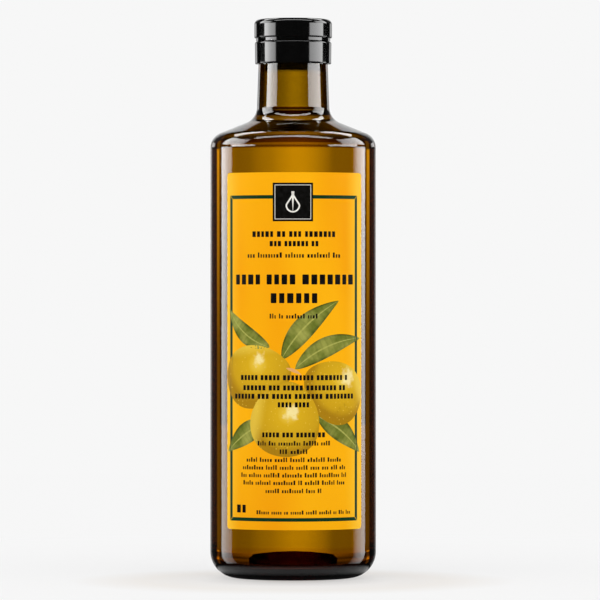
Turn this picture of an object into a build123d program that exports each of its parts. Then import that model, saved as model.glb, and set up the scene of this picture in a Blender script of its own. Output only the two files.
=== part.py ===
from build123d import *
import os
from math import cos, radians, sin, tan

# A round glass bottle that holds one litre of olive oil, shut with a screw cap.
# Millimetres. The origin is the middle of the foot, on the plane the bottle stands on.
# +Z is up and the label faces -Y.

# Glass body
body_diameter = 82.8
body_corner_height = 220.0  # where the straight side would meet the shoulder's cone
body_wall = 3.0
heel_blend = 13.0
heel_blend_inside = 9.0

# Foot
bearing_ring_width = 2.9  # the flat ring it stands on
bearing_ring_blend = 1.2
punt_depth = 8.0
base_wall = 5.4  # glass between the punt and the push-up inside
floor_height = 7.8  # the trough round the push-up
floor_blend = 5.0

# Shoulder and neck
shoulder_slope = 21.7  # degrees from level
shoulder_wall = 3.2
shoulder_blend = 8.0
shoulder_blend_inside = 5.0
neck_diameter = 34.7  # just under the closure
neck_flare = 0.95  # how much wider its radius gets down to the shoulder's cone
neck_length = 27.2  # from that corner up to the closure
neck_wall = 3.45
neck_blend = 8.5
neck_blend_inside = 11.0

# Glass finish, which the closure hides
bead_start = 4.0  # above the closure's lower edge
bead_height = 3.0
bead_radial = 0.55  # how far it stands out from the neck
bead_blend = 0.2
finish_step = 0.75  # how much slimmer the glass is above the bead
rim_blend = 1.0

# Pour insert, pressed into the bore
insert_wall = 1.4
insert_flange = 1.2  # the part that lies on the glass rim
insert_reach = 3.4  # how far its foot hangs below the closure
insert_clearance = 0.05

# Tamper band, left on the neck by a turn of the cap
band_height = 11.2
band_wall = 1.2
band_taper = 0.15  # how much its radius shrinks down to its foot
band_lip_height = 3.2  # the lip that grips under the bead
band_top_blend = 0.9
band_foot_blend = 0.5
band_clearance = 0.1  # from the glass

# Screw cap
closure_height = 22.4  # tamper band, gap and cap together
cap_wall = 2.4
cap_top_wall = 1.95
cap_top_blend = 2.0
cap_edge_blend = 0.7
cap_thread_room = 0.45
split_gap = 0.2
groove_height = 1.7  # from the band up to the cap's lower edge
groove_depth = 0.85
seal_clearance = 0.05

# Oil
headspace = 0.6  # below the insert
oil_clearance = 0.05  # from the glass

# Paper label, glued to the straight side
label_width = 76.7  # along the glass
label_thickness = 0.09
label_corner = 1.8
label_turn = 1.4  # degrees off the front, towards +X
label_foot_margin = 12.5  # above the heel's curve
label_top_margin = 13.2  # below the shoulder's curve
label_clearance = 0.02  # the glue

body_radius = body_diameter / 2
neck_radius = neck_diameter / 2
neck_foot_radius = neck_radius + neck_flare


def shoulder_height(radius, wall=0.0):
    """Height of the shoulder's cone at a radius, or of the same cone one wall further in."""
    slope = radians(shoulder_slope)
    return body_corner_height + (body_radius - radius) * tan(slope) - wall / cos(slope)


neck_foot_height = shoulder_height(neck_foot_radius)
closure_start = neck_foot_height + neck_length
closure_top = closure_start + closure_height
band_top = closure_start + band_height
cap_underside = closure_top - cap_top_wall
rim_height = cap_underside - seal_clearance - insert_flange
bead_radius = neck_radius + bead_radial
finish_radius = neck_radius - finish_step
insert_foot = closure_start - insert_reach

# The punt is a cap of a sphere, and the push-up inside is the same sphere one base wall further out.
punt_radius = body_radius - heel_blend - bearing_ring_width
punt_sphere = (punt_radius**2 + punt_depth**2) / (2 * punt_depth)
punt_centre = Pos(0, 0, punt_depth - punt_sphere)


def turned(*corners):
    """A solid turned about Z from a closed outline of (radius, height) corners.
    A third number rounds its corner."""
    blends = [corner[2] if len(corner) > 2 else 0 for corner in corners]
    outline = FilletPolyline(*[corner[:2] for corner in corners], radius=blends, close=True)
    return revolve(Plane.XZ * make_face(outline), Axis.Z)


def circle_edge(solid, height):
    """The smallest circular edge of a turned solid at a height."""
    circles = solid.edges().filter_by(GeomType.CIRCLE)
    level = [edge for edge in circles if abs(edge.center().Z - height) < 1e-4]
    return min(level, key=lambda edge: edge.radius)


def glass_outside():
    return turned(
        (0, 0),
        (body_radius, 0, heel_blend),
        (body_radius, body_corner_height, shoulder_blend),
        (neck_foot_radius, neck_foot_height, neck_blend),
        (neck_radius, closure_start),
        (neck_radius, closure_start + bead_start),
        (bead_radius, closure_start + bead_start, bead_blend),
        (bead_radius, closure_start + bead_start + bead_height, bead_blend),
        (finish_radius, closure_start + bead_start + bead_height),
        (finish_radius, rim_height, rim_blend),
        (0, rim_height),
    )


def glass_inside(margin=0.0):
    """The space inside the glass up to its rim, drawn in by a margin all round."""
    side = body_radius - body_wall - margin
    wall = shoulder_wall + margin
    bore = neck_radius - neck_wall - margin
    bore_foot = bore + neck_flare
    space = turned(
        (0, floor_height + margin),
        (side, floor_height + margin, heel_blend_inside),
        (side, shoulder_height(side, wall), shoulder_blend_inside),
        (bore_foot, shoulder_height(bore_foot, wall), neck_blend_inside),
        (bore, closure_start),
        (bore, rim_height),
        (0, rim_height),
    )
    space -= punt_centre * Sphere(punt_sphere + base_wall + margin)
    return fillet(circle_edge(space, floor_height + margin), floor_blend)


def glass_bottle():
    body = glass_outside() - punt_centre * Sphere(punt_sphere)
    body = fillet(circle_edge(body, 0), bearing_ring_blend)
    return body - glass_inside()


def oil():
    surface = Plane.XY.offset(insert_foot - headspace)
    return split(glass_inside(oil_clearance), bisect_by=surface, keep=Keep.BOTTOM)


def pour_insert():
    sleeve = neck_radius - neck_wall - insert_clearance
    top = rim_height + insert_flange
    return turned(
        (0, insert_foot),
        (sleeve, insert_foot, insert_wall / 2),
        (sleeve, rim_height),
        (finish_radius, rim_height),
        (finish_radius, top, insert_flange / 3),
        (sleeve - insert_wall, top),
        (sleeve - insert_wall, insert_foot + insert_wall),
        (0, insert_foot + insert_wall),
    )


def tamper_band():
    inside = bead_radius + band_clearance
    lip = neck_radius + band_clearance
    outside = inside + band_wall
    return turned(
        (lip, closure_start),
        (outside - band_taper, closure_start, band_foot_blend),
        (outside, band_top, band_top_blend),
        (inside, band_top),
        (inside, closure_start + band_lip_height),
        (lip, closure_start + band_lip_height),
    )


def screw_cap():
    inside = finish_radius + cap_thread_room
    outside = inside + cap_wall
    skirt_foot = band_top + groove_height
    return turned(
        (0, cap_underside),
        (inside, cap_underside),
        (inside, band_top + split_gap),
        (outside - groove_depth, band_top + split_gap),
        (outside - groove_depth, skirt_foot),
        (outside, skirt_foot, cap_edge_blend),
        (outside, closure_top, cap_top_blend),
        (0, closure_top),
    )


def label():
    """A sheet of paper round the side, cut out of a thin tube by a flat outline with rounded corners."""
    blend_length = shoulder_blend * tan(radians(90 - shoulder_slope) / 2)
    foot = heel_blend + label_foot_margin
    top = body_corner_height - blend_length - label_top_margin
    inside = body_radius + label_clearance
    outside = inside + label_thickness
    tube = turned((inside, foot), (outside, foot), (outside, top), (inside, top))
    span = 2 * outside * sin(label_width / (2 * body_radius))
    sheet = Plane.XZ * Pos(0, (foot + top) / 2) * RectangleRounded(span, top - foot, label_corner)
    return Rot(0, 0, label_turn) * (tube & extrude(sheet, 2 * outside))


os.makedirs("parts", exist_ok=True)
for make in (glass_bottle, oil, pour_insert, tamper_band, screw_cap, label):
    export_step(make(), f"parts/{make.__name__}.step")
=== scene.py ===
"""A one-litre glass bottle of olive oil, laid out as a Blender add-on and run as a script."""

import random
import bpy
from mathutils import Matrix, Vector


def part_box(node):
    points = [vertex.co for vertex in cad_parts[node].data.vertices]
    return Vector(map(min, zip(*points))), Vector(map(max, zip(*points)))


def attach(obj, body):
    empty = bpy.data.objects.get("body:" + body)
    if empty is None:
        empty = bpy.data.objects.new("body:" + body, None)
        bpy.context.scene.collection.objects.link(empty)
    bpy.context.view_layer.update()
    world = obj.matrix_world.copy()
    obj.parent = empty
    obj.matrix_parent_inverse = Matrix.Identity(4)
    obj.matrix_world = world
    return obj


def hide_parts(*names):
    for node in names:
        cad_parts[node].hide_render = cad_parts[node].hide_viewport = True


bl_info = {
    "name": "Olive Oil Bottle",
    "version": (1, 0, 0),
    "blender": (4, 5, 0),
    "location": "View3D > Sidebar > Oil Bottle",
    "description": "Builds a bottle of olive oil, its closure, its label and a small studio",
    "category": "Object",
}

from math import asin, ceil, cos, hypot, pi, radians, sin, sqrt, tan

import bmesh
import bpy
from bpy.props import FloatProperty, FloatVectorProperty, PointerProperty
from bpy.types import Operator, Panel, PropertyGroup
from mathutils import Matrix, Vector

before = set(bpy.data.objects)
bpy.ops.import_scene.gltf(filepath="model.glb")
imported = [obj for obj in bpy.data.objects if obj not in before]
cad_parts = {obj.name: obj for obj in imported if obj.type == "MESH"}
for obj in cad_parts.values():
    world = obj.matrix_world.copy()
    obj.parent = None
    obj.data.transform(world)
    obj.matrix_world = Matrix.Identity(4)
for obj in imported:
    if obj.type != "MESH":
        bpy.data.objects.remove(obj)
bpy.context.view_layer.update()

MM = 0.001
GLASS_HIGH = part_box("glass_bottle")[1]
OIL_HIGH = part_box("oil")[1]
INSERT_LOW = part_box("pour_insert")[0]
BAND_LOW, BAND_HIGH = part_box("tamper_band")
CAP_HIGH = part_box("screw_cap")[1]
LABEL_LOW, LABEL_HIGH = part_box("label")


def linear(code):
    """The scene's linear colour for an sRGB hex value such as "#ffb01e"."""
    shares = [int(code[i : i + 2], 16) / 255 for i in (1, 3, 5)]
    return tuple(s / 12.92 if s <= 0.04045 else ((s + 0.055) / 1.055) ** 2.4 for s in shares)


# ---------------------------------------------------------------- settings


def length(name, millimetres, description):
    return FloatProperty(
        name=name, description=description, default=millimetres * MM, unit="LENGTH", precision=4
    )


def angle(name, degrees, description):
    return FloatProperty(
        name=name, description=description, default=radians(degrees), subtype="ANGLE", precision=2
    )


def colour(name, code, description):
    return FloatVectorProperty(
        name=name, description=description, default=linear(code), subtype="COLOR", min=0, max=1
    )


def share(name, value, description):
    return FloatProperty(
        name=name, description=description, default=value, min=0, max=1, subtype="FACTOR"
    )


def amount(name, value, description):
    return FloatProperty(name=name, description=description, default=value, min=0)


class GlassSettings(PropertyGroup):
    corner_height: length("Corner height", 220.0, "Where the side would meet the shoulder's cone")
    wall: length("Wall", 3.0, "Thickness of the side")
    heel: length("Heel", 13.0, "Radius of the curve from foot to side")
    heel_inside: length("Inner heel", 9.0, "The same curve inside")
    ring: length("Bearing ring", 2.9, "Width of the flat ring it stands on")
    ring_blend: length("Ring blend", 1.2, "How round the ring's inner edge is")
    punt: length("Punt", 8.0, "Depth of the hollow under the foot")
    base: length("Base", 5.4, "Glass between the punt and the push-up")
    floor: length("Inner floor", 7.8, "Height of the trough round the push-up")
    floor_blend: length("Floor blend", 5.0, "How round the foot of the push-up is")
    slope: angle("Shoulder slope", 21.7, "How steep the shoulder's cone is")
    shoulder_wall: length("Shoulder wall", 3.2, "Thickness of the shoulder")
    shoulder: length("Shoulder blend", 8.0, "Radius of the curve from side to shoulder")
    shoulder_inside: length("Inner shoulder", 5.0, "The same curve inside")
    neck_radius: length("Neck radius", 17.35, "Radius just under the closure")
    flare: length("Flare", 0.95, "How much wider the neck gets towards the shoulder")
    neck_wall: length("Neck wall", 3.45, "Thickness of the neck")
    neck: length("Neck blend", 8.5, "Radius of the curve from shoulder to neck")
    neck_inside: length("Inner neck", 11.0, "The same curve inside")
    bead_start: length("Bead start", 4.0, "From the closure's lower edge up to the bead")
    bead_height: length("Bead height", 3.0, "Height of the bead that holds the band")
    bead: length("Bead", 0.55, "How far the bead stands out")
    bead_blend: length("Bead blend", 0.2, "How round the bead's edges are")
    finish_step: length("Finish step", 0.75, "How much slimmer the glass is above the bead")
    rim: length("Rim blend", 1.0, "How round the rim is")
    tint: colour("Tint", "#ffffff", "What each surface of the glass takes from the light")
    neck_tint: colour("Neck tint", "#dcdf95", "The same on the neck, where the glass is darker")
    # Painted shade on the neck's sides seen at a slant, beyond the glass's own absorption.
    neck_side_shade: colour("Neck side tint", "#443812", "The same where the neck is seen at a slant")
    body_colour: colour("Glass colour", "#ebc93a", "Colour that the glass keeps")
    density: amount("Glass density", 400.0, "Absorption of the glass for each metre")


class OilSettings(PropertyGroup):
    reach: length("Reach", 0.15, "How far the oil runs into the glass, so that no air shows")
    meniscus: length("Meniscus", 0.8, "Width of the level's outermost ring")
    colour: colour("Oil colour", "#fdf73a", "Colour that the oil keeps")
    density: amount("Oil density", 62.0, "Absorption of the oil for each metre")


class ClosureSettings(PropertyGroup):
    insert_play: length("Insert play", 0.05, "Room between the insert and the bore")
    insert_wall: length("Insert wall", 1.4, "Wall of the pour insert")
    insert_flange: length("Insert flange", 1.2, "Height of the flange on the rim")
    insert_blend: length("Insert blend", 0.3, "How round the insert's bore is at its top")
    band_play: length("Band play", 0.1, "Room between the band and the glass")
    band_wall: length("Band wall", 1.2, "Wall of the tamper band")
    band_taper: length("Band taper", 0.15, "How much slimmer the band's foot is")
    band_lip: length("Band lip", 3.2, "Height of the lip under the bead")
    band_top_blend: length("Band top blend", 0.9, "How round the band's top edge is")
    band_foot_blend: length("Band foot blend", 0.5, "How round the band's foot is")
    cap_play: length("Cap play", 0.45, "Room between the cap and the finish")
    cap_split: length("Cap split", 0.2, "Gap between the band and the cap")
    cap_wall: length("Cap wall", 2.4, "Wall of the cap")
    cap_top: length("Cap top", 1.95, "Thickness of the cap's top")
    cap_inner_blend: length("Cap inner blend", 0.5, "How round the cap's inner corner is")
    cap_top_blend: length("Cap top blend", 2.5, "How round the cap's top edge is")
    cap_edge_blend: length("Cap edge blend", 0.7, "How round the cap's lower edge is")
    groove: length("Groove", 1.7, "Height of the groove between band and cap")
    groove_depth: length("Groove depth", 0.85, "Depth of that groove")
    plastic: colour("Plastic", "#0b0b0b", "Colour of the closure")
    roughness: share("Roughness", 0.06, "Roughness of the closure's moulded face")


class LabelSettings(PropertyGroup):
    turn: angle("Turn", 1.4, "How far the label sits off the front, towards +X")
    width: length("Width", 76.7, "Width along the glass")
    corner: length("Corner", 1.8, "How round the label's corners are")
    paper: length("Paper", 0.05, "Thickness of the paper")
    orange: colour("Orange", "#ffb406", "Ground colour of the label")
    orange_deep: colour("Deep orange", "#f9a300", "The ground's darker cloud")
    # Painted sheen: a paler ground towards the sides, where the side lights would catch the
    # varnish.
    orange_painted_sheen: colour("Pale orange", "#ffc326", "The ground towards the label's sides")
    back: colour("Back", "#e9e2d2", "Unprinted back of the paper")
    border_turn: angle("Border turn", -0.77, "How far the border sits off the label's middle")
    border_inset: length("Border inset", 2.9, "From the label's sides to the border")
    border_width: length("Border line", 1.75, "Width of the border's line")
    border_low: length("Border low", 4.2, "From the label's foot to the border")
    border_high: length("Border high", 11.2, "From the label's top to the border")
    mitre: length("Mitre", 0.16, "Bare hairline at the border's corners")
    bare_edge: length("Bare edge", 0.2, "Bare paper left where a print runs off the label")
    border_green: colour("Border green", "#06371c", "Colour of the border")
    square_turn: angle("Square turn", -0.1, "How far the square sits off the front")
    square: length("Square", 20.0, "Width of the black square")
    square_height: length("Square height", 19.0, "Height of the black square")
    square_top: length("Square top", 5.1, "From the label's top to the square")
    square_edge: length("Square edge", 1.0, "From the square's edge to its white line")
    square_line: length("Square line", 0.28, "Width of the white line on the square")
    drop: length("Drop", 3.6, "Radius of the drop's round foot")
    drop_rise: length("Drop rise", 3.4, "How far the drop's point is drawn up")
    drop_low: length("Drop low", 1.6, "How far the drop sits under the square's middle")
    drop_line: length("Drop line", 0.75, "Width of the drop's outline")
    ink: colour("Black ink", "#0b0a08", "Colour of the square and of the text blocks")
    white: colour("White", "#f2efe6", "Colour of the lines on the square")


class ArtworkSettings(PropertyGroup):
    olive: colour("Olive", "#dcae1a", "Body colour of the printed olives")
    olive_light: colour("Olive light", "#f1cd48", "Lit side of the printed olives")
    olive_shine: colour("Olive shine", "#fff0b0", "Highlight of the printed olives")
    olive_shade: colour("Olive shade", "#ad800f", "Shaded side of the printed olives")
    leaf: colour("Leaf", "#6d7629", "Body colour of the printed leaves")
    leaf_light: colour("Leaf light", "#afae56", "Lit parts and midrib of the leaves")
    leaf_shade: colour("Leaf shade", "#3c4a16", "Shaded parts of the leaves")
    stem: colour("Stem", "#eeb06c", "Colour of the little stem")


class StudioSettings(PropertyGroup):
    distance: length("Camera distance", 2340.0, "From the bottle's axis to the camera")
    height: length("Camera height", 138.6, "Height of the camera")
    aside: length("Camera aside", 3.43, "How far the camera stands towards +X")
    focal: FloatProperty(name="Focal length", description="Lens in millimetres", default=280.8)
    ground: colour("Ground", "#f7f7f7", "Colour of the floor and the backdrop")
    light: amount("Room light", 1.05, "Strength of the soft light from all round")


class OilBottleSettings(PropertyGroup):
    glass: PointerProperty(type=GlassSettings)
    oil: PointerProperty(type=OilSettings)
    closure: PointerProperty(type=ClosureSettings)
    label: PointerProperty(type=LabelSettings)
    artwork: PointerProperty(type=ArtworkSettings)
    studio: PointerProperty(type=StudioSettings)


def sizes():
    return bpy.context.scene.oil_bottle


# ---------------------------------------------------------------- nodes


def rgba(value):
    """What a colour socket holds for a colour or a grey."""
    return (*value[:3], 1) if hasattr(value, "__len__") else (value, value, value, 1)


def add(tree, kind, inputs=None, stops=(), **settings):
    """Adds a shader node. Each input is a value, or the node or socket it is linked to."""
    node = tree.nodes.new("ShaderNode" + kind)
    for name, value in settings.items():
        setattr(node, name, value)
    for index, (position, level) in enumerate(stops):
        elements = node.color_ramp.elements
        element = elements[index] if index < 2 else elements.new(position)
        element.position = position
        element.color = rgba(level)
    for socket, source in (inputs or {}).items():
        if isinstance(source, bpy.types.Node):
            source = next(out for out in source.outputs if out.enabled)
        if isinstance(source, bpy.types.NodeSocket):
            tree.links.new(source, node.inputs[socket])
        else:
            node.inputs[socket].default_value = source
    return node


def graded(tree, measure, low, high, stops):
    """A ramp over a measure from low to high, with stops of (measure, level)."""
    span = add(tree, "MapRange", {"Value": measure, "From Min": low, "From Max": high})
    shares = [((at - low) / (high - low), level) for at, level in stops]
    return add(tree, "ValToRGB", {"Fac": span}, shares)


def new_material(name):
    """An empty material, its node tree, and the place on the piece."""
    material = bpy.data.materials.new(name)
    material.use_nodes = True
    tree = material.node_tree
    tree.nodes.clear()
    return material, tree, add(tree, "TexCoord").outputs["Object"]


# ---------------------------------------------------------------- shapes

SPIN_STEPS = 192
ARC_STEP = radians(7)
# From a corner to the support point that keeps the straight run beside it straight in its shading.
GUARD = 0.4 * MM
# Points nearer than this are one point.
SAME = 1e-6
# Faces that meet at more than this have a sharp edge.
SHARP = radians(35)
FLAT = Matrix.Identity(4)
UPRIGHT = Matrix.Rotation(pi / 2, 3, "X")
BEVEL = {"offset_type": "OFFSET", "profile": 0.5, "material": -1}


def spin(mesh, geom, centre, axis, turn, steps, merge=False):
    """Spins points or edges about an axis."""
    return bmesh.ops.spin(
        mesh,
        geom=geom,
        cent=centre,
        axis=axis,
        angle=turn,
        space=FLAT,
        steps=steps,
        use_merge=merge,
    )


def points(done):
    """The points among what an operator made."""
    return [made for made in done["geom"] if isinstance(made, bmesh.types.BMVert)]


class Outline:
    """A wire in the XZ plane, drawn from point to point and then spun about the bottle's axis."""

    def __init__(self, r, z):
        self.mesh = bmesh.new()
        self.tip = self.mesh.verts.new((r, 0, z))

    def line(self, r, z):
        """A straight run with a support point near each end."""
        start, end = self.tip.co.copy(), Vector((r, 0, z))
        run = end - start
        guard = run.normalized() * GUARD
        for stop in (start + guard, end - guard, end) if run.length > 4 * GUARD else (end,):
            self.tip = bmesh.ops.extrude_vert_indiv(self.mesh, verts=[self.tip])["verts"][0]
            self.tip.co = stop

    def arc(self, r, z, turn):
        """An arc from the tip round a centre, with turn from Z towards X."""
        steps = max(2, ceil(abs(turn) / ARC_STEP))
        done = spin(self.mesh, [self.tip], (r, 0, z), (0, 1, 0), turn, steps)
        self.tip = next(g for g in done["geom_last"] if isinstance(g, bmesh.types.BMVert))

    def path(self, *corners):
        """Straight runs through corners of (radius, height), where a third number rounds one."""
        for corner, following in zip(corners, corners[1:] + (None,)):
            if len(corner) < 3:
                self.line(*corner)
                continue
            spot = Vector((corner[0], 0, corner[1]))
            back = (self.tip.co - spot).normalized()
            ahead = (Vector((following[0], 0, following[1])) - spot).normalized()
            half = back.angle(ahead) / 2
            reach = back * corner[2] / tan(half)
            middle = spot + (back + ahead).normalized() * corner[2] / sin(half)
            self.line(spot.x + reach.x, spot.z + reach.z)
            side = -1 if back.cross(ahead).y > 0 else 1
            self.arc(middle.x, middle.z, (pi - 2 * half) * side)

    def spun(self, closed=False):
        """The shape that the wire makes when it is spun about Z."""
        mesh = self.mesh
        if closed:
            mesh.verts.ensure_lookup_table()
            mesh.edges.new((self.tip, mesh.verts[0]))
        spin(mesh, mesh.verts[:] + mesh.edges[:], (0, 0, 0), (0, 0, 1), 2 * pi, SPIN_STEPS, True)
        bmesh.ops.remove_doubles(mesh, verts=mesh.verts, dist=SAME)
        bmesh.ops.recalc_face_normals(mesh, faces=mesh.faces)
        return mesh


def round_ring(mesh, radius, height, offset, segments):
    """Rounds the ring of edges at a radius and height."""
    near = 20 * SAME
    level = {v for v in mesh.verts if abs(v.co.z - height) < near}
    round_it = {v for v in level if abs(hypot(v.co.x, v.co.y) - radius) < near}
    ring = [edge for edge in mesh.edges if all(v in round_it for v in edge.verts)]
    if not ring:
        raise RuntimeError("there is no ring of edges to round")
    bmesh.ops.bevel(
        mesh,
        geom=ring,
        offset=offset,
        affect="EDGES",
        segments=segments,
        clamp_overlap=True,
        **BEVEL,
    )


def placed(name, mesh, material):
    """Makes an object of a finished mesh."""
    data = bpy.data.meshes.new(name)
    mesh.to_mesh(data)
    mesh.free()
    data.shade_smooth()
    data.materials.append(material)
    body = bpy.data.objects.new(name, data)
    bpy.context.scene.collection.objects.link(body)
    return body


def piece(name, mesh, material, slot, *nodes):
    """Makes a piece that rides on the bottle and stands for CAD nodes."""
    body = placed(name, mesh, material)
    body.data.set_sharp_from_angle(angle=SHARP)
    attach(body, "root")
    if nodes:
        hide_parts(*nodes)
    return body


# ---------------------------------------------------------------- glass and oil


class Bottle:
    """The heights and radii that the glass, the oil and the closure share."""

    def __init__(self):
        glass = self.glass = sizes().glass
        self.radius = GLASS_HIGH.x
        self.start = BAND_LOW.z
        self.band_top = BAND_HIGH.z
        self.top = CAP_HIGH.z
        self.neck_foot = glass.neck_radius + glass.flare
        self.rim = GLASS_HIGH.z
        self.punt = self.radius - glass.heel - glass.ring
        self.dome = (self.punt**2 + glass.punt**2) / (2 * glass.punt)
        self.dome_centre = glass.punt - self.dome
        self.insert_foot = INSERT_LOW.z
        self.level = OIL_HIGH.z
        self.bead = glass.neck_radius + glass.bead
        self.finish = glass.neck_radius - glass.finish_step

    def cone(self, radius, wall=0.0):
        """Height of the shoulder's cone, or of the inside of a wall under it."""
        glass = self.glass
        rise = (self.radius - radius) * tan(glass.slope)
        return glass.corner_height + rise - wall / cos(glass.slope)

    def inside(self, reach=0.0):
        """Corners of the inner wall from its trough to the neck, pushed into the glass by reach."""
        glass = self.glass
        side = self.radius - glass.wall + reach
        wall = glass.shoulder_wall - reach
        bore = glass.neck_radius - glass.neck_wall + reach
        foot = bore + glass.flare
        return (
            (side, glass.floor - reach, glass.heel_inside),
            (side, self.cone(side, wall), glass.shoulder_inside),
            (foot, self.cone(foot, wall), glass.neck_inside),
            (bore, self.start),
        )

    def trough(self, reach=0.0):
        """Radius, height and half turn of the corner where the push-up meets the trough."""
        floor = self.glass.floor - reach
        sphere = self.dome + self.glass.base - reach
        radius = sqrt(sphere**2 - (floor - self.dome_centre) ** 2)
        return radius, floor, asin(radius / sphere)

    def round_trough(self, mesh, reach=0.0):
        """Rounds the corner where the push-up meets the trough."""
        radius, floor, turn = self.trough(reach)
        round_ring(mesh, radius, floor, self.glass.floor_blend * tan(turn / 2), 6)


class GlassOperator(Operator):
    """Blows the bottle: heel, side, shoulder, neck, finish, and the hollow under its foot"""

    bl_idname = "oil_bottle.glass"
    bl_label = "Glass"

    def execute(self, context):
        bottle = Bottle()
        glass = bottle.glass
        punt_turn = asin(bottle.punt / bottle.dome)
        bead_foot = bottle.start + glass.bead_start
        bead_top = bead_foot + glass.bead_height
        corners = bottle.inside()[::-1]
        radius, floor, turn = bottle.trough()
        outline = Outline(0, glass.punt)
        outline.arc(0, bottle.dome_centre, punt_turn)
        outline.path(
            (bottle.radius, 0, glass.heel),
            (bottle.radius, glass.corner_height, glass.shoulder),
            (bottle.neck_foot, bottle.cone(bottle.neck_foot), glass.neck),
            (glass.neck_radius, bottle.start),
            (glass.neck_radius, bead_foot),
            (bottle.bead, bead_foot, glass.bead_blend),
            (bottle.bead, bead_top, glass.bead_blend),
            (bottle.finish, bead_top),
            (bottle.finish, bottle.rim, glass.rim),
            (corners[0][0], bottle.rim),
            *corners,
            (radius, floor),
        )
        outline.arc(0, bottle.dome_centre, -turn)
        mesh = outline.spun()
        round_ring(mesh, bottle.punt, 0, glass.ring_blend * tan(punt_turn / 2), 5)
        bottle.round_trough(mesh)
        self.mark_wet(mesh, bottle)
        piece("bottle_glass", mesh, bottle_glass(), "brown_glass", "glass_bottle")
        return {"FINISHED"}

    def mark_wet(self, mesh, bottle):
        """Marks the faces of the inner wall that the oil touches."""
        glass = bottle.glass
        near = 0.5 * MM
        side = bottle.radius - glass.wall + near
        bore = glass.neck_radius - glass.neck_wall + glass.flare + near
        wet = mesh.faces.layers.float.new("wet")
        for face in mesh.faces:
            spot = face.calc_center_median()
            r, z = hypot(spot.x, spot.y), spot.z
            deep = hypot(r, z - bottle.dome_centre) > bottle.dome + glass.base / 2
            under = r < bore or z < bottle.cone(r) - glass.shoulder_wall / 2
            inner = r < side and z > glass.floor - near and z < bottle.level
            face[wet] = float(deep and under and inner)


# Where the glass turns to the neck's tint: from how far above the shoulder's corner, over how much.
NECK_FROM = 9 * MM
NECK_OVER = 8 * MM


def bottle_glass():
    """Blown container glass: deep amber where it is thick, with a wavy, fire-polished face."""
    glass = sizes().glass
    material, tree, place = new_material("amber_container_glass")
    height = add(tree, "SeparateXYZ", {"Vector": place}).outputs["Z"]
    # The neck is tinted darker than the side.
    low = glass.corner_height + NECK_FROM
    rise = add(
        tree,
        "MapRange",
        {"Value": height, "From Min": low, "From Max": low + NECK_OVER},
        interpolation_type="SMOOTHSTEP",
    )
    tint = add(
        tree,
        "Mix",
        {"Factor": rise, "A": rgba(glass.tint), "B": rgba(glass.neck_tint)},
        data_type="RGBA",
    )
    # Painted shade: where the neck is seen at a slant its tint goes almost black, darker than its
    # thick wall really soaks up there.
    steep = add(
        tree,
        "MapRange",
        {"Value": add(tree, "LayerWeight").outputs["Facing"], "From Min": 0.3, "From Max": 0.46},
        interpolation_type="SMOOTHSTEP",
    )
    deep = add(tree, "Math", {0: steep, 1: rise}, operation="MULTIPLY")
    tint = add(
        tree, "Mix", {"Factor": deep, "A": tint, "B": rgba(glass.neck_side_shade)}, data_type="RGBA"
    )
    # Where the inner wall is wet with oil it reflects almost nothing.
    wet = add(tree, "Attribute", attribute_name="wet").outputs["Fac"]
    shine = add(tree, "Mix", {"Factor": wet, "A": rgba(1), "B": rgba(0)}, data_type="RGBA")
    # Slow waves of about 30 mm that the mould leaves, and that bend the reflections a little.
    waves = add(tree, "TexNoise", {"Vector": place, "Scale": 1 / (30 * MM), "Detail": 0.0})
    surface = add(
        tree,
        "BsdfPrincipled",
        {
            "Base Color": tint,
            "Roughness": 0.0,
            "IOR": 1.5,
            "Transmission Weight": 1.0,
            "Specular Tint": shine,
            "Normal": add(tree, "Bump", {"Height": waves, "Distance": 0.004 * MM}),
        },
    )
    body = add(
        tree, "VolumeAbsorption", {"Color": rgba(glass.body_colour), "Density": glass.density}
    )
    add(tree, "OutputMaterial", {"Surface": surface, "Volume": body})
    return material


class OilOperator(Operator):
    """Fills the bottle with oil up to just under the pour insert"""

    bl_idname = "oil_bottle.oil"
    bl_label = "Oil"

    def execute(self, context):
        bottle = Bottle()
        oil = sizes().oil
        outline = Outline(0, bottle.dome_centre + bottle.dome + bottle.glass.base - oil.reach)
        outline.arc(0, bottle.dome_centre, bottle.trough(oil.reach)[2])
        *corners, foot, bore = bottle.inside(oil.reach)
        # The bore widens downwards, so the oil's edge is a little wider than the bore's top.
        down = (bore[1] - bottle.level) / (bore[1] - foot[1])
        edge = bore[0] + (foot[0] - bore[0]) * down
        outline.path(
            *corners, foot, (edge, bottle.level), (edge - oil.meniscus, bottle.level)
        )
        outline.line(0, bottle.level)
        mesh = outline.spun()
        bottle.round_trough(mesh, oil.reach)
        piece("olive_oil", mesh, olive_oil(), "olive_oil", "oil")
        return {"FINISHED"}


def olive_oil():
    """Clear golden olive oil: bends light a little less than glass, yellow in thin layers."""
    oil = sizes().oil
    material, tree, place = new_material("clear_olive_oil")
    # Faint clouds of about 25 mm, where the oil isn't quite clear.
    clouds = add(tree, "TexNoise", {"Vector": place, "Scale": 1 / (25 * MM), "Detail": 1.0})
    stops = [(0.3, linear("#fffdf4")), (0.7, linear("#ffffff"))]
    surface = add(
        tree,
        "BsdfPrincipled",
        {
            "Base Color": add(tree, "ValToRGB", {"Fac": clouds}, stops),
            "Roughness": 0.0,
            "IOR": 1.47,
            "Transmission Weight": 1.0,
            "Specular Tint": rgba(0),
        },
    )
    body = add(tree, "VolumeAbsorption", {"Color": rgba(oil.colour), "Density": oil.density})
    add(tree, "OutputMaterial", {"Surface": surface, "Volume": body})
    return material


# ---------------------------------------------------------------- closure


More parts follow.
